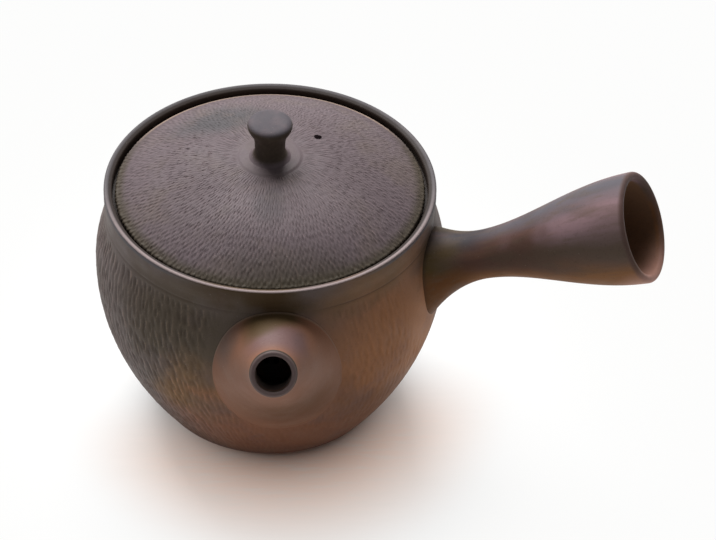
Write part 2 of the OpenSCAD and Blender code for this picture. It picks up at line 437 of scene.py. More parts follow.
def make_pot():
    """The pot with its chattered wall, smooth collar, lip, lid seat and hollow."""
    wall_z = np.linspace(FOOT_BEVEL_H, COLLAR_H - 1, POT_ROWS)
    wall = profile(
        [[FOOT_R - 3*FOOT_ROUND, 0], [FOOT_R - FOOT_ROUND, 0], [FOOT_R, FOOT_ROUND]],
        np.stack([wall_r(wall_z), wall_z], 1),
    )
    runs = runs_along(wall)
    top = runs[-1]
    foot = runs[-len(wall_z)] + POT_FOOT_PLAIN
    count = int((top - foot)/POT_MARK_STEP)
    bands = [(top - POT_MARK_LEN/2 - i*POT_MARK_STEP, POT_MARK_LEN, POT_MARKS) for i in range(count)]
    fade = np.clip((top - runs)/POT_FADE_TOP, 0, 1)*np.clip((runs - foot)/POT_FADE_FOOT, 0, 1)
    fade = fade[:, None]
    fade = fade*off_luted(wall, POT_COLUMNS, spout_line(), SPOUT_RING_R)
    fade = fade*off_luted(wall, POT_COLUMNS, handle_line(), HANDLE_ROOT_R)
    fade = fade*soft_marks(wall, POT_COLUMNS)
    relief = fade*chatter(runs, POT_COLUMNS, bands, slant=0.35, shift=0.37, wobble=0.6, seed=3)
    depth = POT_MARK_DEPTH*(relief + BURR*fade)

    groove_z = np.arange(COLLAR_H - 0.7, COLLAR_H + 0.8, 0.2)
    groove = COLLAR_GROOVE*np.exp(-((groove_z - COLLAR_H)/COLLAR_GROOVE_W)**2)
    neck_z = np.linspace(COLLAR_H + 1.2, RIM_H - LIP_FACE_H, 10)
    collar = profile(
        np.stack([wall_r(groove_z) - groove, groove_z], 1),
        np.stack([wall_r(neck_z), neck_z], 1),
        arc([RIM_R - LIP_ROUND, RIM_H - LIP_ROUND], LIP_ROUND, 0, 90 + LIP_LEAN, 8),
        arc([RIM_R - LIP_T + LIP_ROUND, RIM_H - LIP_ROUND - LIP_FALL], LIP_ROUND, 90 + LIP_LEAN, 180, 5),
    )

    round_z = FLOOR_T + FLOOR_ROUND_H
    round_r = float(wall_r(round_z)) - WALL_T
    ledge_z = SEAT_H - LEDGE_T
    inner_z = np.linspace(ledge_z - LEDGE_SLOPE_H, round_z, 14)
    turn = np.radians(np.linspace(0, 90, 7))[1:]
    floor_r = round_r - FLOOR_ROUND_W*(1 - np.cos(turn))
    floor_z = round_z - FLOOR_ROUND_H*np.sin(turn)
    inside = profile(
        [[RIM_R - LIP_T, SEAT_H], [MOUTH_R + SEAT_EASE, SEAT_H]],
        [[MOUTH_R, SEAT_H - SEAT_EASE], [MOUTH_R, ledge_z]],
        np.stack([wall_r(inner_z) - WALL_T, inner_z], 1),
        np.stack([floor_r, floor_z], 1),
        [[15, FLOOR_T], [5, FLOOR_T]],
    )
    base = [[5, 0], [15, 0], [25, 0]]
    rings = [pole(0)] + turned(base, PLAIN_COLUMNS) + dug(wall, depth)
    rings += turned(collar, SMOOTH_COLUMNS) + turned(inside, PLAIN_COLUMNS) + [pole(FLOOR_T)]
    before = 1 + len(base)*PLAIN_COLUMNS
    after = len(collar)*SMOOTH_COLUMNS + len(inside)*PLAIN_COLUMNS + 1
    marks = np.concatenate([np.zeros(before), relief.ravel(), np.zeros(after)])
    pot = loft("pot_thrown", rings, marks=marks, sharp_angle=MARKED_CREASE_ANGLE)
    origin, axis = spout_line()
    drill(pot, origin, axis, PORT_R, PORT_REACH, sharp_angle=MARKED_CREASE_ANGLE)
    return pot


def make_lid():
    """The domed lid with its rings of chatter marks, smooth pad, vent and locating flange."""
    edge_r = LID_R - LID_ROUND
    edge_z = float(dome_z(edge_r)) - LID_ROUND
    dome_r = np.linspace(PAD_R, edge_r, LID_ROWS)
    outside = profile(
        [[PAD_R - 0.9, LID_TOP], [PAD_R - 0.35, LID_TOP - 0.05]],
        np.stack([dome_r, dome_z(dome_r)], 1),
        arc([edge_r, edge_z], LID_ROUND, LID_EDGE_TURN, 0, 4),
        [[LID_R, edge_z - 0.5], [LID_R, edge_z - 1.0]],
    )
    runs = runs_along(outside)
    bands = []
    middle = runs[-1] - LID_FIRST_RUN
    while middle > runs[2]:
        near = np.clip(1 - (middle - runs[2])/LID_LONG_RUN, 0, 1)
        length = LID_MARK_LEN + (LID_MARK_LONG - LID_MARK_LEN)*near
        bands.append((middle, length, LID_MARKS if near < LID_PAD_SHARE else LID_PAD_MARKS))
        middle -= LID_STEP_SHARE*length
    fade = np.clip((runs - runs[2])/LID_FADE_PAD, 0, 1)*np.clip((runs[-1] - runs)/LID_FADE_EDGE, 0, 1)
    fade = fade[:, None]
    near_edge = np.clip((outside[:, 0] - LID_R + LID_EDGE_W)/LID_EDGE_OVER, 0, 1)[:, None]
    backward = np.sin(np.arange(LID_COLUMNS)*TURN/LID_COLUMNS)
    back = ease((backward - LID_BACK_FROM)/LID_BACK_OVER, 1)
    fade = fade*(1 - LID_BACK_WIPE*near_edge*back)
    relief = fade*chatter(runs, LID_COLUMNS, bands, slant=0.12, shift=0.56, wobble=0.0, seed=11)
    bite = 1 + LID_EDGE_BITE*near_edge
    small = np.clip(outside[:, 0]/LID_FINE_R, 0, 1)[:, None]
    depth = LID_MARK_DEPTH*bite*small*(relief + BURR*fade)

    under_r = np.linspace(FLANGE_INNER_R, 3, 10)
    inside = profile(
        [[LID_R, SEAT_H + SEAT_EASE], [LID_R - SEAT_EASE, SEAT_H], [FLANGE_R, SEAT_H]],
        [[FLANGE_R, FLANGE_Z + FLANGE_EASE], [FLANGE_R - FLANGE_EASE, FLANGE_Z]],
        [[FLANGE_INNER_R + FLANGE_EASE, FLANGE_Z], [FLANGE_INNER_R, FLANGE_Z + FLANGE_EASE]],
        np.stack([under_r, dome_z(under_r) - LID_T], 1),
    )
    pad = [[3, LID_TOP], [6, LID_TOP]]
    rings = [pole(LID_TOP)] + turned(pad, LID_PLAIN_COLUMNS) + dug(outside, depth)
    rings += turned(inside, LID_PLAIN_COLUMNS) + [pole(LID_TOP - LID_T)]
    before = 1 + len(pad)*LID_PLAIN_COLUMNS
    after = len(inside)*LID_PLAIN_COLUMNS + 1
    marks = np.concatenate([np.zeros(before), relief.ravel(), np.zeros(after)])
    lid = loft("lid_thrown", rings, marks=marks, sharp_angle=MARKED_CREASE_ANGLE)
    turn = math.radians(VENT_TURN)
    vent = np.array([VENT_OFFSET*math.cos(turn), VENT_OFFSET*math.sin(turn), LID_TOP])
    drill(lid, vent, np.array(UP), VENT_R, LID_TOP - SEAT_H, sharp_angle=MARKED_CREASE_ANGLE)
    return lid


def make_knob():
    """The turned knob with its waist and soft crown."""
    cap_z = KNOB_H - KNOB_CROWN_H
    stem_z = np.concatenate([np.linspace(0, KNOB_WAIST_H, 24), np.linspace(KNOB_WAIST_H, cap_z, 32)[1:]])
    crown = np.radians(np.linspace(0, 88, 24))[1:]
    points = profile(
        [[2.5, 0]],
        np.stack([knob_r(stem_z), stem_z], 1),
        np.stack([KNOB_CAP_R*np.cos(crown)**KNOB_CROWN_POWER, cap_z + KNOB_CROWN_H*np.sin(crown)], 1),
    )
    points[:, 1] += LID_TOP
    rings = [pole(LID_TOP)] + turned(points, PLAIN_COLUMNS) + [pole(LID_TOP + KNOB_H)]
    return loft("knob_turned", rings)


def spout_line():
    """Where the spout's axis leaves the wall, and its direction."""
    rise, yaw = math.radians(SPOUT_RISE), math.radians(SPOUT_YAW)
    axis = np.array([-math.cos(rise)*math.sin(yaw), -math.cos(rise)*math.cos(yaw), math.sin(rise)])
    return np.array([0.0, -float(wall_r(SPOUT_H)), SPOUT_H]), axis


def handle_line():
    """Where the handle's axis leaves the wall, and its direction."""
    rise, turn = math.radians(HANDLE_RISE), math.radians(HANDLE_TURN)
    level = np.array([math.cos(turn), -math.sin(turn), 0.0])
    origin = float(wall_r(HANDLE_H))*level + np.array([0.0, 0.0, HANDLE_H])
    return origin, math.cos(rise)*level + np.array([0.0, 0.0, math.sin(rise)])


def tube_points(line, out, radius):
    """Points round an axis, for distances along it and radii that each have a row and a column."""
    origin, axis = line
    u, v = across(axis)
    a = np.arange(out.shape[1])*TURN/out.shape[1]
    way = np.outer(np.cos(a), u) + np.outer(np.sin(a), v)
    return origin + out[:, :, None]*axis + radius[:, :, None]*way[None]


def meets_wall(line, radius_at, inside, outside, columns):
    """Distance along an axis at which each column of a turned piece runs into the pot's wall."""
    low = np.full((1, columns), float(inside))
    high = np.full((1, columns), float(outside))
    for _ in range(40):
        middle = (low + high)/2
        p = tube_points(line, middle, radius_at(middle))[0]
        buried = np.hypot(p[:, 0], p[:, 1]) < wall_r(p[:, 2]) - LUTE_DEPTH
        low = np.where(buried, middle, low)
        high = np.where(buried, high, middle)
    return high


def make_spout():
    """The conical spout with its rounded tip, bore and the fine ring where it meets the wall."""
    columns = SPOUT_COLUMNS
    line = spout_line()
    tip_round = (SPOUT_TIP_R - SPOUT_BORE_R)/2

    def outside_r(out):
        return spout_r(SPOUT_LEN - out)

    def bore_r(out):
        return np.interp(out, [0, SPOUT_LEN - SPOUT_BORE_LEN], [PORT_R, SPOUT_BORE_R])

    root = meets_wall(line, outside_r, -PORT_REACH, SPOUT_LEN - 4, columns)
    port = meets_wall(line, bore_r, -PORT_REACH, SPOUT_LEN - 4, columns)
    share = (np.linspace(0, 1, 50)**1.7)[:, None]
    out = root + (SPOUT_LEN - tip_round - root)*share
    past = out - root
    bead = np.exp(-((past - SPOUT_BEAD_AT)/SPOUT_BEAD_W)**2)
    radius = outside_r(out) + SPOUT_BEAD*bead
    tip = arc([SPOUT_BORE_R + tip_round, SPOUT_LEN - tip_round], tip_round - SKIN, 15, 180, 9)
    bore_out = SPOUT_LEN - tip_round + (port - SPOUT_LEN + tip_round)*np.linspace(0.1, 1, 16)[:, None]
    ones = np.ones((1, columns))
    # Painted highlight on the ring: its mark value, brighter on top, is laid pale on the spout
    upward = np.sin(np.arange(columns)*TURN/columns)
    ring_highlight = bead*np.clip(0.45 + 0.7*upward, 0, 1)
    out = np.concatenate([out, tip[:, 1:]*ones, bore_out])
    radius = np.concatenate([radius, tip[:, :1]*ones, bore_r(bore_out)])
    marks = np.zeros(out.shape)
    marks[:len(ring_highlight)] = ring_highlight
    marks[len(ring_highlight) + len(tip):] = -1
    return loft("spout_thrown", list(tube_points(line, out, radius)), closed=True, marks=marks.ravel())


def make_handle():
    """The hollow trumpet handle with its flared root and rounded mouth.

    Its fall attribute runs round its axis, from 0 on top to 1 underneath.
    """
    columns = HANDLE_COLUMNS
    line = handle_line()
    edge_round = HANDLE_T/2
    bell_end = HANDLE_LEN - edge_round
    bore = HANDLE_WAIST_R - HANDLE_T
    root = meets_wall(line, handle_r, -PORT_REACH, HANDLE_WAIST_LEN, columns)
    port = meets_wall(line, lambda out: np.full_like(out, bore), -PORT_REACH, HANDLE_WAIST_LEN, columns)
    share = (np.linspace(0, 1, 80)**1.6)[:, None]
    out = root + (bell_end - root)*share
    seam = SEAM_DEPTH*np.exp(-((out - root)/SEAM_W)**2)
    radius = handle_r(out) - seam - SKIN
    mouth = arc([float(handle_r(bell_end)) - edge_round, bell_end], edge_round - SKIN, 15, 180, 11)
    hollow_out = np.linspace(bell_end, HANDLE_WAIST_LEN, 40)[1:, None]*np.ones((1, columns))
    hollow_r = handle_r(hollow_out) - HANDLE_T
    bore_out = HANDLE_WAIST_LEN + (port - HANDLE_WAIST_LEN)*np.linspace(0.1, 1, 12)[:, None]
    ones = np.ones((1, columns))
    out = np.concatenate([out, mouth[:, 1:]*ones, hollow_out, bore_out])
    radius = np.concatenate([radius, mouth[:, :1]*ones, hollow_r, np.full_like(bore_out, bore)])
    marks = np.zeros(out.shape)
    marks[:len(seam)] = seam/SEAM_DEPTH
    marks[len(seam) + len(mouth):] = -1
    handle = loft("handle_thrown", list(tube_points(line, out, radius)), closed=True, marks=marks.ravel())
    from_top = np.abs(np.arange(columns)/columns - 0.25)
    fall = np.tile(2*np.minimum(from_top, 1 - from_top), len(out)).astype(np.float32)
    handle.data.attributes.new("fall", "FLOAT", "POINT").data.foreach_set("value", fall)
    return handle


class Clay:
    """A procedural stoneware material, built up from layers of colour."""

    def __init__(self, name, colour, seed, wander=34.0):
        self.material = bpy.data.materials.new(name)
        self.material.use_nodes = True
        self.tree = self.material.node_tree
        self.tree.nodes.clear()
        self.seed = seed
        place = self.add("ShaderNodeTexCoord").outputs["Object"]
        self.place = self.vector("SCALE", place, scale=1/MM)
        drift = self.noise(0.045, 3)
        drift.inputs["W"].default_value = 0.0
        self.drift = self.vector("SUBTRACT", drift.outputs["Color"], (0.5, 0.5, 0.5))
        self.stray(wander)
        self.colour = colour

    def stray(self, wander):
        """Sets how far the edges of the patches that follow may stray, in millimetres."""
        self.warped = self.vector("ADD", self.place, self.vector("SCALE", self.drift, scale=wander))

    def add(self, kind, **inputs):
        """A new node with the given values or links on its inputs."""
        made = self.tree.nodes.new(kind)
        for name, value in inputs.items():
            self.put(made.inputs[name.replace("_", " ")], value)
        return made

    def put(self, socket, value):
        """Links a socket to another, or sets its value."""
        if isinstance(value, bpy.types.NodeSocket):
            self.tree.links.new(value, socket)
        else:
            socket.default_value = value

    def vector(self, operation, first, second=None, scale=None):
        """The result of a vector operation."""
        made = self.add("ShaderNodeVectorMath")
        made.operation = operation
        self.put(made.inputs[0], first)
        if second is not None:
            self.put(made.inputs[1], second)
        if scale is not None:
            self.put(made.inputs["Scale"], scale)
        return made.outputs["Value" if operation in ("LENGTH", "DISTANCE", "DOT_PRODUCT") else "Vector"]

    def math(self, operation, first, second):
        """The result of a sum on two numbers."""
        made = self.add("ShaderNodeMath")
        made.operation = operation
        self.put(made.inputs[0], first)
        self.put(made.inputs[1], second)
        return made.outputs[0]

    def noise(self, scale, detail, roughness=0.55, vector=None):
        """Noise with a scale in cycles per millimetre."""
        made = self.add("ShaderNodeTexNoise")
        made.noise_dimensions = "4D"
        self.put(made.inputs["Vector"], vector or self.place)
        self.put(made.inputs["W"], float(self.seed))
        self.put(made.inputs["Scale"], scale)
        self.put(made.inputs["Detail"], float(detail))
        self.put(made.inputs["Roughness"], roughness)
        self.seed += 1
        return made

    def span(self, value, low, high, out_low=0.0, out_high=1.0):
        """Carries a value smoothly from one range to another."""
        made = self.add("ShaderNodeMapRange")
        made.interpolation_type = "SMOOTHSTEP"
        self.put(made.inputs["Value"], value)
        self.put(made.inputs["From Min"], low)
        self.put(made.inputs["From Max"], high)
        self.put(made.inputs["To Min"], out_low)
        self.put(made.inputs["To Max"], out_high)
        return made.outputs["Result"]

    def layer(self, colour, mask, blend="MIX"):
        """Lays a colour over what is there, by a mask."""
        made = self.add("ShaderNodeMix")
        made.data_type = "RGBA"
        made.blend_type = blend
        self.put(made.inputs["Factor"], mask)
        self.put(made.inputs[6], self.colour)
        self.put(made.inputs[7], colour)
        self.colour = made.outputs[2]

    def spot(self, colour, centre, reach, strength=1.0, core=0.25):
        """A soft patch of colour round a point, with a reach along each axis; most are kiln colour, some
        on the spout are painted highlight and shade.
        """
        offset = self.vector("SUBTRACT", self.warped, centre)
        far = self.vector("LENGTH", self.vector("DIVIDE", offset, reach))
        self.layer(colour, self.span(far, core, 1.0, strength, 0.0))

    def flash(self, patches):
        """A list of soft patches, one over the other."""
        for colour, centre, reach, strength in patches:
            self.spot(colour, centre, reach, strength)

    def along(self, way):
        """Distance along a direction."""
        return self.vector("DOT_PRODUCT", self.place, way)

    def beyond(self, way, low, high):
        """A mask that rises from 0 to 1 between two distances along a direction."""
        return self.span(self.along(way), low, high)

    def from_axis(self):
        """Distance from the Z axis."""
        return self.vector("LENGTH", self.vector("MULTIPLY", self.place, (1.0, 1.0, 0.0)))

    def mottle(self, colour, scale, low, high, strength):
        """Cloudy mottling of another colour."""
        cloud = self.noise(scale, 4, 0.6).outputs["Fac"]
        self.layer(colour, self.span(cloud, low, high, 0.0, strength))

    def attribute(self, name):
        """A value stored on the mesh."""
        made = self.add("ShaderNodeAttribute")
        made.attribute_name = name
        return made.outputs["Fac"]

    def between(self, value, low, high, soft):
        """A mask that is 1 where a value lies between two others."""
        rise = self.span(value, low - soft, low + soft)
        return self.math("MULTIPLY", rise, self.span(value, high - soft, high + soft, 1.0, 0.0))

    def drawn_out(self, axis):
        """Coordinates in which noise is drawn out along an axis."""
        shift = self.vector("SCALE", 0.85*axis, scale=self.along(axis))
        return self.vector("SUBTRACT", self.place, shift)

    def streaks(self, colour, axis, scale, low, high, strength):
        """Mottling that is drawn out along an axis."""
        cloud = self.noise(scale, 4, 0.6, self.drawn_out(axis)).outputs["Fac"]
        self.layer(colour, self.span(cloud, low, high, 0.0, strength))

    def tint_marks(self, colour, strength, blend="MULTIPLY"):
        """Colours the bottoms of the marks, or for a strength below 0 their burrs."""
        self.layer(colour, self.math("MULTIPLY", self.attribute("mark"), strength), blend)

    def finish(self, rough, rough_spread, grain, specular=SPECULAR):
        """Fine speckle, roughness, grain and the shader itself."""
        speckle = self.noise(1.6, 3, 0.65).outputs["Fac"]
        self.layer(SPECKLE_DARK, self.span(speckle, 0.52, 0.72, 0.0, 0.3), "MULTIPLY")
        pale = self.noise(2.3, 2, 0.6).outputs["Fac"]
        self.layer(SPECKLE_PALE, self.span(pale, 0.66, 0.8, 0.0, 0.35))
        patch = self.noise(0.12, 4, 0.6).outputs["Fac"]
        roughness = self.span(patch, 0.3, 0.7, rough - rough_spread, rough + rough_spread)
        fine = self.noise(3.2, 4, 0.6).outputs["Fac"]
        bump = self.add("ShaderNodeBump", Strength=grain, Distance=0.12*MM, Height=fine)
        shader = self.add("ShaderNodeBsdfPrincipled")
        self.put(shader.inputs["Base Color"], self.colour)
        self.put(shader.inputs["Roughness"], roughness)
        self.put(shader.inputs["Specular IOR Level"], specular)
        self.put(shader.inputs["Normal"], bump.outputs["Normal"])
        out = self.add("ShaderNodeOutputMaterial")
        self.tree.links.new(shader.outputs[0], out.inputs["Surface"])
        return self.material


# Colours that several pieces share, as linear red, green and blue: kiln colours, a dark brown that is
# also laid as painted shade, and a painted highlight for rims and rings
ASH = (0.13, 0.1, 0.09, 1)
SLATE = (0.09, 0.068, 0.046, 1)
# Dark brown of the knob and the handle's seam, also laid as painted shade in the collar groove and behind
# the spout's tip
SOOT_AND_SHADE = (0.05, 0.036, 0.028, 1)
VIOLET = (0.129, 0.099, 0.107, 1)
WARM = (0.29, 0.127, 0.056, 1)
ROOT_BROWN = (0.125, 0.052, 0.018, 1)
# Painted highlight for the lid's back rim and the spout's ring
RING_PAINTED_HIGHLIGHT = (0.3, 0.22, 0.17, 1)

# Speckle, and the marks' bottoms and burrs, which shade or brighten what is there: the gouges' own darker
# clay with painted shade, and the burrs' burnish with a painted highlight
SPECKLE_DARK = (0.55, 0.53, 0.5, 1)
SPECKLE_PALE = (0.42, 0.36, 0.32, 1)
MARK_DARK_AND_SHADE = (0.36, 0.33, 0.31, 1)
BURR_BURNISH_AND_HIGHLIGHT = (1.9, 1.75, 1.7, 1)

# Pot
OLIVE = (0.072, 0.045, 0.022, 1)
OCHRE = (0.205, 0.115, 0.055, 1)
RUST = (0.245, 0.108, 0.062, 1)
FLUSH = (0.38, 0.17, 0.075, 1)
COLLAR_BROWN = (0.15, 0.085, 0.042, 1)
# Painted highlight along the lip's crest, on the front
LIP_PAINTED_HIGHLIGHT = (0.28, 0.22, 0.215, 1)
LIP_COOL = (0.095, 0.09, 0.098, 1)
# Painted shade on the lip's inner slope at the back
LIP_PAINTED_SHADE = (0.036, 0.027, 0.024, 1)
# Painted shade in the gap between the lip and the lid
GAP_PAINTED_SHADE = (0.03, 0.021, 0.017, 1)

# Lid and knob
BLUE_GREY = (0.07, 0.066, 0.07, 1)
LID_OLIVE = (0.062, 0.05, 0.034, 1)
LID_LIGHT = (0.18, 0.142, 0.151, 1)
CROWN_GREY = (0.085, 0.075, 0.085, 1)

# Spout
SPOUT_BROWN = (0.26, 0.117, 0.068, 1)
SPOUT_LOW = (0.13, 0.056, 0.026, 1)
# Olive on top of the spout near its root, partly painted shade under the pot's lip
SPOUT_OLIVE_AND_SHADE = (0.095, 0.06, 0.028, 1)
# Mauve on the spout's top, partly a painted highlight just above the tip
SPOUT_MAUVE_AND_HIGHLIGHT = (0.15, 0.09, 0.089, 1)
SPOUT_DUSK = (0.085, 0.062, 0.066, 1)
TIP_GREY = (0.14, 0.1, 0.095, 1)

# Handle
HANDLE_BROWN = (0.215, 0.1, 0.043, 1)
WAIST_RED = (0.112, 0.06, 0.046, 1)
BAND_DARK = (0.116, 0.081, 0.058, 1)
PINK = (0.285, 0.182, 0.197, 1)
ROSE = (0.28, 0.13, 0.08, 1)
ROOT_GREY = (0.045, 0.042, 0.048, 1)
ROOT_OLIVE = (0.085, 0.056, 0.014, 1)
# Cool grey on the bell's top, partly a painted sheen
BELL_GREY_AND_SHEEN = (0.105, 0.098, 0.112, 1)
BELL_FLUSH = (0.44, 0.24, 0.19, 1)
BELL_INSIDE = (0.165, 0.09, 0.052, 1)
MOUTH_BROWN = (0.1, 0.06, 0.05, 1)

# Patches that run over the wall and the spout alike: colour, centre, reach and strength
WALL_FLASH = [
    (SLATE, (-24, -42, 53), (32, 30, 30), 0.9),
    (WARM, (32, -36, 46), (36, 40, 46), 1.0),
    (RUST, (6, -42, 16), (50, 44, 30), 1.0),
    (OCHRE, (-21, -42, 34), (20, 20, 19), 0.9),
    (FLUSH, (43, -25, 42), (15, 22, 28), 0.9),
    (OLIVE, (-3, -46, 70), (28, 14, 9), 1.0),
    (COLLAR_BROWN, (28, -36, 70), (28, 20, 10), 0.9),
    (ROOT_BROWN, (24, -38, 26), (24, 22, 16), 0.5),
    (OLIVE, (43, -17, 66), (11, 13, 9), 0.8),
    (OLIVE, (-28, -36, 70), (22, 18, 7), 0.4),
    (WARM, (-15, -46, 36), (11, 14, 10), 0.6),
    (SLATE, (-18, 44, 58), (40, 30, 28), 0.7),
    (RUST, (2, 42, 10), (60, 36, 34), 0.4),
    (OCHRE, (-44, 32, 18), (32, 28, 30), 0.3),
    (WARM, (42, 28, 40), (34, 34, 46), 0.45),
]

# Bands along the handle: colour, fall from the top from and to, distance out from and to, and strength
HANDLE_BANDS = [
    (HANDLE_BROWN, 0.47, 2.0, -40, 99, 1.0),
    (WAIST_RED, 0.08, 0.56, 6, 42, 0.95),
    (BAND_DARK, 0.31, 0.49, 31, 99, 0.9),
    (PINK, 0.08, 0.31, 39, 99, 0.9),
    # Partly painted sheen: the cool grey along the bell's top
    (BELL_GREY_AND_SHEEN, -1.0, 0.05, 20, 99, 1.0),
    (ROOT_GREY, -1.0, 0.2, -6, 22, 0.9),
    (ROOT_OLIVE, 0.14, 0.5, -40, 7, 0.9),
    (ROOT_BROWN, 0.44, 2.0, -40, 14, 1.0),
]

# How far the spout's own brown covers the wall's patches
SPOUT_FLUSH = 0.82

# The floor. The camera sees more of its own light away from the foot, so that the shadow fades out
FLOOR_WHITE = (0.98, 0.98, 0.975, 1)
# Beige in front of the foot: painted warm bounce light in the shadow
FLOOR_PAINTED_BOUNCE = (0.95, 0.7, 0.58, 1)
FLOOR_WEAVE = (0.87, 0.83, 0.79, 1)
SHADOW_SQUEEZE = 1.15
SHADOW_LEAN = 3.0
SHADOW_RUN = 24.0
BEIGE_RUN = 50.0
FLOOR_HALF = 6.0

# The surround's light on the object, and the camera, fitted to the photograph, in metres and degrees
SKY_LIGHT = 0.2
CAMERA_SENSOR = 36.0
CAMERA_LENS = 167.35
CAMERA_SHIFT = 0.1229
CAMERA_PLACE = (-0.01819, -0.71365, 0.65432)
CAMERA_TILT = 49.41
CAMERA_YAW = -1.46


def pot_clay():
    """Grey on the left, rust low in front and warm brown on the right; painted shade in the gap under the
    lid, on the lip's inner slope at the back and in the collar groove, and a painted highlight on the
    lip's crest.
    """
    clay = Clay("pot_clay", ASH, 1)
    clay.flash(WALL_FLASH)
    clay.mottle(VIOLET, 0.06, 0.5, 0.7, 0.3)
    rightward = clay.along(RIGHT)
    # Partly painted light: painted shade in the gouges and a painted highlight on the burrs, stronger on
    # the left where the light grazes, over their own darker and burnished clay
    clay.tint_marks(MARK_DARK_AND_SHADE, clay.span(rightward, -40.0, 0.0, 0.7, 0.3))
    clay.tint_marks(BURR_BURNISH_AND_HIGHLIGHT, clay.span(rightward, -40.0, 0.0, -1.1/BURR, -0.4/BURR))
    # Painted shade: the collar groove is darkened, more so to the right
    groove = clay.between(clay.along(UP), COLLAR_H - 0.15, COLLAR_H + 0.15, 0.15)
    clay.layer(SOOT_AND_SHADE, clay.math("MULTIPLY", groove, clay.span(rightward, 8.0, 22.0, 0.1, 0.55)))
    inner = RIM_R - LIP_T
    above_seat = clay.beyond(UP, SEAT_H - 1.5, SEAT_H - 0.5)
    within = clay.span(clay.from_axis(), inner + 0.1, inner + 0.5, 1.0, 0.0)
    painted_gap_shade = clay.math("MULTIPLY", above_seat, within)
    front = clay.beyond(FRONT, 30.0, 45.0)
    backward = clay.beyond(BACK, -45.0, -30.0)
    lip = clay.beyond(UP, RIM_H - 1.6, RIM_H - 0.8)
    clay.layer(LIP_COOL, clay.math("MULTIPLY", lip, clay.span(front, 0.0, 1.0, 0.8, 0.0)))
    # Painted shade: the lip's inner slope is darkened at the back, where it faces away from the light
    slope = clay.span(clay.from_axis(), RIM_R - 1.5, RIM_R - 0.9, 1.0, 0.0)
    clay.layer(LIP_PAINTED_SHADE, clay.math("MULTIPLY", clay.math("MULTIPLY", lip, slope), backward))
    # Painted highlight: a pale line along the lip's crest towards the front
    crest = clay.beyond(UP, RIM_H - 0.3, RIM_H - 0.05)
    clay.layer(LIP_PAINTED_HIGHLIGHT, clay.math("MULTIPLY", crest, clay.beyond(FRONT, -5.0, 30.0)))
    # Painted shade: the gap between the lip and the lid, above the seat, is laid dark
    clay.layer(GAP_PAINTED_SHADE, painted_gap_shade)
    return clay.finish(0.55, 0.08, 0.25)


def lid_clay():
    """Violet grey with blue-grey patches, a darker front, an olive edge and a painted highlight along the
    back of the rim.
    """
    clay = Clay("lid_clay", VIOLET, 20, wander=16.0)
    clay.spot(LID_LIGHT, (4, -20, 82), (32, 14, 20), 0.8)
    clay.spot(BLUE_GREY, (-13, 21, 80), (19, 12, 20), 0.9)
    clay.spot(BLUE_GREY, (-1, -20, 82), (7, 10, 20), 0.4)
    clay.spot(LID_OLIVE, (10, -48, 74), (56, 20, 20), 0.85)
    clay.mottle(ASH, 0.07, 0.45, 0.7, 0.6)
    # Partly painted shade: the gouges are darkened, over their own darker clay
    clay.tint_marks(MARK_DARK_AND_SHADE, 0.68)
    forward = clay.beyond(FRONT, -35.0, -5.0)
    edge = clay.span(clay.from_axis(), LID_R - 3.5, LID_R - 0.5, 0.0, 0.9)
    clay.layer(LID_OLIVE, clay.math("MULTIPLY", edge, forward))
    # Painted highlight: a pale line along the lid's rounded rim, at the back
    rim = clay.span(clay.from_axis(), LID_R - 1.4, LID_R - 0.7, 0.0, 0.8)
    rim = clay.math("MULTIPLY", rim, clay.beyond(UP, LID_EDGE_Z - 0.2, LID_EDGE_Z + 0.1))
    clay.layer(RING_PAINTED_HIGHLIGHT, clay.math("MULTIPLY", rim, clay.span(forward, 0.0, 0.6, 1.0, 0.0)))
    # Partly painted highlight: the burrs are lightened, over their own burnish
    clay.tint_marks(BURR_BURNISH_AND_HIGHLIGHT, -0.65/BURR)
    return clay.finish(0.55, 0.07, 0.25)


def knob_clay():
    """Dark grey-brown, violet grey on the crown."""
    clay = Clay("knob_clay", SOOT_AND_SHADE, 40)
    clay.mottle(SLATE, 0.15, 0.4, 0.7, 0.4)
    crown = LID_TOP + KNOB_H - KNOB_CROWN_H
    top = clay.beyond(UP, crown + 0.1, crown + 1.1)
    clay.layer(CROWN_GREY, top)
    cloud = clay.noise(0.28, 3).outputs["Fac"]
    clay.layer(VIOLET, clay.math("MULTIPLY", top, clay.span(cloud, 0.42, 0.65, 0.0, 0.45)))
    clay.layer(VIOLET, clay.beyond(DOWN, -LID_TOP - 1.4, -LID_TOP - 0.1))
    return clay.finish(0.55, 0.06, 0.2, specular=KNOB_SPECULAR)


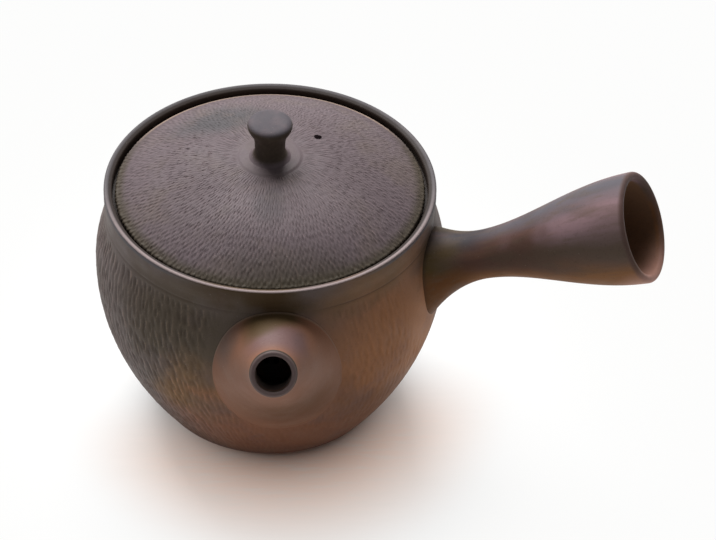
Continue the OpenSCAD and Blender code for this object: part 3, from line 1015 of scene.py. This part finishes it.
def spout_clay():
    """The wall's colours, rosy towards the tip, mauve on top with a painted highlight, olive with painted
    shade on top near the root, a painted highlight along the ring, a painted shade line behind the tip
    and a grey tip.
    """
    clay = Clay("spout_clay", ASH, 50)
    clay.flash(WALL_FLASH)
    clay.layer(SPOUT_BROWN, SPOUT_FLUSH)
    clay.stray(10.0)
    clay.spot(ASH, (-16, -47, 60), (9, 9, 11), 0.7)
    clay.spot(SPOUT_LOW, (9, -60, 36), (30, 28, 21), 1.0)
    # Partly painted highlight: mauve just above the tip
    clay.spot(SPOUT_MAUVE_AND_HIGHLIGHT, (1, -57, 66), (14, 9, 8), 0.9)
    clay.spot(SPOUT_DUSK, (9, -57, 68), (6, 7, 6), 0.6)
    # Partly painted shade: dark olive across the top of the spout near its root, where the pot's lip
    # shades it
    clay.spot(SPOUT_OLIVE_AND_SHADE, (-2, -48, 68), (16, 6.5, 7), 1.0, core=0.4)
    clay.spot(SPOUT_OLIVE_AND_SHADE, (-5, -52, 67), (8, 6, 6), 0.9)
    # Painted highlight along the ring where the spout meets the wall, brighter on top
    clay.tint_marks(RING_PAINTED_HIGHLIGHT, 0.65, "MIX")
    clay.tint_marks(ASH, -1.0, "MIX")
    origin, axis = spout_line()
    tip = float(origin @ axis) + SPOUT_LEN
    # Painted shade: a dark line round the spout just behind its tip's face
    clay.layer(SOOT_AND_SHADE, clay.beyond(axis, tip - 1.6, tip - 1.3))
    clay.layer(TIP_GREY, clay.beyond(axis, tip - 0.7, tip - 0.3))
    return clay.finish(0.5, 0.07, 0.2)


def handle_clay():
    """Grey-violet above, partly painted sheen on the bell's top, then a pink and a dark band, brown below
    and olive at the root.
    """
    clay = Clay("handle_clay", VIOLET, 70, wander=12.0)
    origin, axis = handle_line()
    along = clay.math("SUBTRACT", clay.along(axis), float(origin @ axis))
    cloud = clay.noise(0.05, 3).outputs["Fac"]
    strayed = clay.math("ADD", along, clay.span(cloud, 0.2, 0.8, -12.0, 12.0))
    ripple = clay.noise(0.12, 2, 0.55, clay.drawn_out(axis)).outputs["Fac"]
    fall = clay.math("ADD", clay.attribute("fall"), clay.span(ripple, 0.2, 0.8, -0.07, 0.07))
    for colour, low, high, start, end, strength in HANDLE_BANDS:
        around = clay.between(fall, low, high, 0.1)
        mask = clay.math("MULTIPLY", around, clay.between(strayed, start, end, 11.0))
        clay.layer(colour, clay.math("MULTIPLY", mask, strength))
    clay.streaks(BAND_DARK, axis, 0.22, 0.5, 0.7, 0.45)
    clay.streaks(ROSE, axis, 0.16, 0.55, 0.75, 0.3)
    clay.streaks(BAND_DARK, axis, 0.6, 0.48, 0.7, 0.4)
    clay.tint_marks(SOOT_AND_SHADE, 0.8, "MIX")
    clay.layer(MOUTH_BROWN, clay.span(along, HANDLE_LEN - 1.6, HANDLE_LEN - 0.4, 0.0, 0.8))
    clay.tint_marks(BELL_INSIDE, -1.0, "MIX")
    clay.spot(BELL_FLUSH, (101, -36, 73), (11, 15, 10), 0.9)
    return clay.finish(0.52, 0.07, 0.2, specular=HANDLE_SPECULAR)


def strainer_clay():
    """Plain brown clay, rough from piercing."""
    clay = Clay("strainer_clay", ASH, 90)
    clay.mottle(WARM, 0.2, 0.45, 0.7, 0.5)
    return clay.finish(0.62, 0.06, 0.4)


def floor_paint():
    """Pale cloth, shaded near the foot and white away from it, with beige laid in front of the foot as
    painted warm bounce light in the shadow.
    """
    paint = Clay("floor_paint", FLOOR_WHITE, 110)
    from_foot = paint.vector("SUBTRACT", paint.place, (SHADOW_LEAN, 0.0, 0.0))
    out = paint.vector("LENGTH", paint.vector("MULTIPLY", from_foot, (SHADOW_SQUEEZE, 1.0, 0.0)))
    out = paint.math("MAXIMUM", paint.math("SUBTRACT", out, FOOT_R), 0.0)
    forward = paint.along((0.15, -1.0, 0.0))
    # Painted warm bounce light: beige laid in the shadow in front of the foot
    near = paint.span(out, 0.0, BEIGE_RUN, 1.0, 0.0)
    front = paint.math("MULTIPLY", near, paint.span(forward, -5.0, 35.0))
    paint.layer(FLOOR_PAINTED_BOUNCE, front)
    weave = paint.noise(0.6, 3, 0.6, paint.drawn_out(np.array(RIGHT))).outputs["Fac"]
    paint.layer(FLOOR_WEAVE, paint.math("MULTIPLY", front, paint.span(weave, 0.4, 0.7, 0.0, 0.4)))
    shader = paint.add("ShaderNodeBsdfPrincipled")
    paint.put(shader.inputs["Base Color"], paint.colour)
    shader.inputs["Roughness"].default_value = 0.9
    shader.inputs["Specular IOR Level"].default_value = 0.1
    glow = paint.add("ShaderNodeEmission", Color=paint.colour, Strength=1.0)
    path = paint.add("ShaderNodeLightPath").outputs
    seen = paint.math("MAXIMUM", path["Is Camera Ray"], path["Is Transmission Ray"])
    seen = paint.math("MAXIMUM", seen, path["Is Glossy Ray"])
    shade = paint.math("EXPONENT", paint.math("MULTIPLY", out, -1/SHADOW_RUN), 0.0)
    share = paint.math("SUBTRACT", seen, paint.math("MULTIPLY", seen, shade))
    lit = paint.add("ShaderNodeMixShader", Fac=share)
    paint.tree.links.new(shader.outputs[0], lit.inputs[1])
    paint.tree.links.new(glow.outputs[0], lit.inputs[2])
    surface = paint.add("ShaderNodeOutputMaterial").inputs["Surface"]
    paint.tree.links.new(lit.outputs[0], surface)
    return paint.material


def make_floor():
    """A wide pale floor just under the pot."""
    half = FLOOR_HALF
    mesh = bpy.data.meshes.new("floor")
    corners = [(-half, -half, 0), (half, -half, 0), (half, half, 0), (-half, half, 0)]
    mesh.from_pydata(corners, [], [(0, 1, 2, 3)])
    floor = bpy.data.objects.new("floor", mesh)
    bpy.context.scene.collection.objects.link(floor)
    floor.data.materials.append(floor_paint())


def make_world():
    """A soft white surround, full white where it is seen or mirrored."""
    world = bpy.data.worlds.new("studio")
    bpy.context.scene.world = world
    world.use_nodes = True
    nodes, links = world.node_tree.nodes, world.node_tree.links
    nodes.clear()
    path = nodes.new("ShaderNodeLightPath")
    seen = nodes.new("ShaderNodeMath")
    seen.operation = "MAXIMUM"
    links.new(path.outputs["Is Camera Ray"], seen.inputs[0])
    links.new(path.outputs["Is Transmission Ray"], seen.inputs[1])
    mirrored = nodes.new("ShaderNodeMath")
    mirrored.operation = "MAXIMUM"
    links.new(seen.outputs[0], mirrored.inputs[0])
    links.new(path.outputs["Is Glossy Ray"], mirrored.inputs[1])
    level = nodes.new("ShaderNodeMapRange")
    links.new(mirrored.outputs[0], level.inputs["Value"])
    level.inputs["To Min"].default_value = SKY_LIGHT
    level.inputs["To Max"].default_value = 1.0
    sky = nodes.new("ShaderNodeBackground")
    links.new(level.outputs["Result"], sky.inputs["Strength"])
    out = nodes.new("ShaderNodeOutputWorld")
    links.new(sky.outputs[0], out.inputs["Surface"])


def make_lamp(name, place, target, size, power):
    """A square soft light that faces a point."""
    data = bpy.data.lights.new(name, "AREA")
    data.shape = "SQUARE"
    data.size = size
    data.energy = power
    lamp = bpy.data.objects.new(name, data)
    bpy.context.scene.collection.objects.link(lamp)
    lamp.location = place
    way = np.array(target) - np.array(place)
    level = math.hypot(way[0], way[1])
    lamp.rotation_euler = (math.atan2(level, -way[2]), 0, math.atan2(-way[0], way[1]))


def make_camera():
    """The photograph's viewpoint."""
    data = bpy.data.cameras.new("camera")
    data.sensor_width = CAMERA_SENSOR
    data.lens = CAMERA_LENS
    data.shift_x = CAMERA_SHIFT
    data.clip_start = 0.01
    camera = bpy.data.objects.new("camera", data)
    bpy.context.scene.collection.objects.link(camera)
    camera.location = CAMERA_PLACE
    camera.rotation_euler = (math.radians(CAMERA_TILT), 0, math.radians(CAMERA_YAW))
    bpy.context.scene.camera = camera


def place(piece, body, node, slot, material):
    """Dresses a piece, puts it on its body and lets it stand for its solid."""
    piece.data.materials.clear()
    piece.data.materials.append(material)
    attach(piece, body)
    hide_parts(node)


bpy.context.scene.view_settings.view_transform = "Standard"
make_camera()
make_world()
make_lamp("back_softbox", place=(-0.17, 0.73, 0.97), target=(0, 0, 0.05), size=0.9, power=27.0)
make_floor()
place(make_pot(), "pot", "pot_body", "pot_clay", pot_clay())
place(make_spout(), "pot", "spout", "spout_clay", spout_clay())
place(make_handle(), "pot", "handle", "handle_clay", handle_clay())
place(make_lid(), "lid", "lid", "lid_clay", lid_clay())
place(make_knob(), "lid", "lid_knob", "knob_clay", knob_clay())
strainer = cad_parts["spout_strainer"]
strainer.data.materials.clear()
strainer.data.materials.append(strainer_clay())
